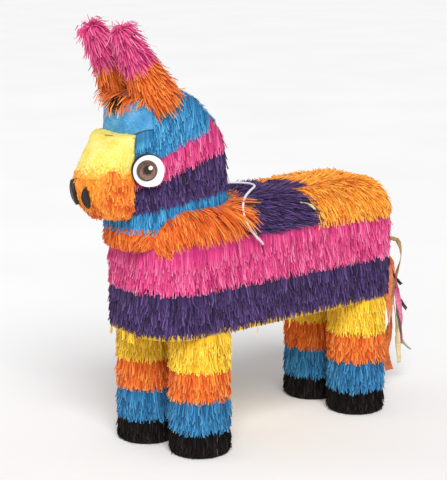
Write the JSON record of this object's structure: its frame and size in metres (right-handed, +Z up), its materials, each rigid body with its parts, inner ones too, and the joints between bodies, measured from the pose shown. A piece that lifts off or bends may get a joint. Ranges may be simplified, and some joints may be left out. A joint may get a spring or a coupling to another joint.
{
  "type": "pinata",
  "caption": "Donkey-shaped party pinata: hollow card body with a filling flap, tube legs, ear cones, bands of fringed paper, a streamer tail and a hanging cord.",
  "frame": {"origin": "middle of the object's box, on the surface its feet stand on", "axes": "+Z up, -Y the way the head points, +X the animal's left flank"},
  "size_m": [0.1656, 0.5272, 0.5269],
  "materials": {
    "card": "plain brown card, bare inside",
    "tissue_pink": "fringed tissue paper",
    "tissue_purple": "fringed tissue paper",
    "tissue_yellow": "fringed tissue paper",
    "tissue_orange": "fringed tissue paper",
    "tissue_amber": "fringed tissue paper",
    "tissue_blue": "fringed tissue paper",
    "tissue_black": "fringed tissue paper",
    "smooth_yellow": "smooth wrapped crepe paper",
    "smooth_orange": "smooth wrapped crepe paper",
    "smooth_blue": "smooth wrapped crepe paper",
    "smooth_gold": "smooth wrapped crepe paper",
    "streamer_paper": "twisted crepe streamers in several colours",
    "eye_print": "printed card",
    "eye_black": "printed card",
    "cord_white": "thin twisted string"
  },
  "bodies": {
    "pinata": {"back_panel": "card", "belly_panel": "card", "belly_paper": "smooth_gold", "body_pink_fringe": "tissue_pink", "body_purple_fringe": "tissue_purple", "chest_panel": "card", "collar_fringe": "tissue_orange", "cord_knots": "cord_white", "foot_caps": "card", "forehead_paper": "smooth_blue", "front_left_leg_black_fringe": "tissue_black", "front_left_leg_blue_fringe": "tissue_blue", "front_left_leg_orange_fringe": "tissue_orange", "front_left_leg_tube": "card", "front_left_leg_yellow_fringe": "tissue_yellow", "front_right_leg_black_fringe": "tissue_black", "front_right_leg_blue_fringe": "tissue_blue", "front_right_leg_orange_fringe": "tissue_orange", "front_right_leg_tube": "card", "front_right_leg_yellow_fringe": "tissue_yellow", "hang_cord": "cord_white", "head_blue_fringe": "tissue_blue", "head_cap": "card", "left_ear_cone": "card", "left_ear_orange_fringe": "tissue_orange", "left_ear_pink_fringe": "tissue_pink", "left_eye": "eye_print", "left_eye_lash": "eye_black", "left_nostril": "eye_black", "left_side_panel": "card", "muzzle_orange_paper": "smooth_orange", "muzzle_shell": "card", "muzzle_yellow_paper": "smooth_yellow", "neck_blue_fringe": "tissue_blue", "neck_pink_fringe": "tissue_pink", "neck_purple_fringe": "tissue_purple", "neck_tube": "card", "rear_left_leg_black_fringe": "tissue_black", "rear_left_leg_blue_fringe": "tissue_blue", "rear_left_leg_orange_fringe": "tissue_orange", "rear_left_leg_tube": "card", "rear_left_leg_yellow_fringe": "tissue_yellow", "rear_right_leg_black_fringe": "tissue_black", "rear_right_leg_blue_fringe": "tissue_blue", "rear_right_leg_orange_fringe": "tissue_orange", "rear_right_leg_tube": "card", "rear_right_leg_yellow_fringe": "tissue_yellow", "right_ear_cone": "card", "right_ear_orange_fringe": "tissue_orange", "right_ear_pink_fringe": "tissue_pink", "right_eye": "eye_print", "right_eye_lash": "eye_black", "right_nostril": "eye_black", "right_side_panel": "card", "rump_fringe": "tissue_amber", "rump_panel": "card", "saddle_fringe": "tissue_purple"},
    "flap": {"fill_flap": "card", "flap_fringe": "tissue_amber"},
    "tail": {"tail_streamers": "streamer_paper"}
  },
  "joints": [
    {"name": "flap_hinge", "type": "hinge", "parent": "pinata", "child": "flap", "pos_m": [0, 0.038, 0.303], "axis": [1, 0, 0], "range_deg": [0, 95]},
    {"name": "tail_swing", "type": "hinge", "parent": "pinata", "child": "tail", "pos_m": [0, 0.1965, 0.205], "axis": [1, 0, 0], "range_deg": [0, 60]}
  ]
}
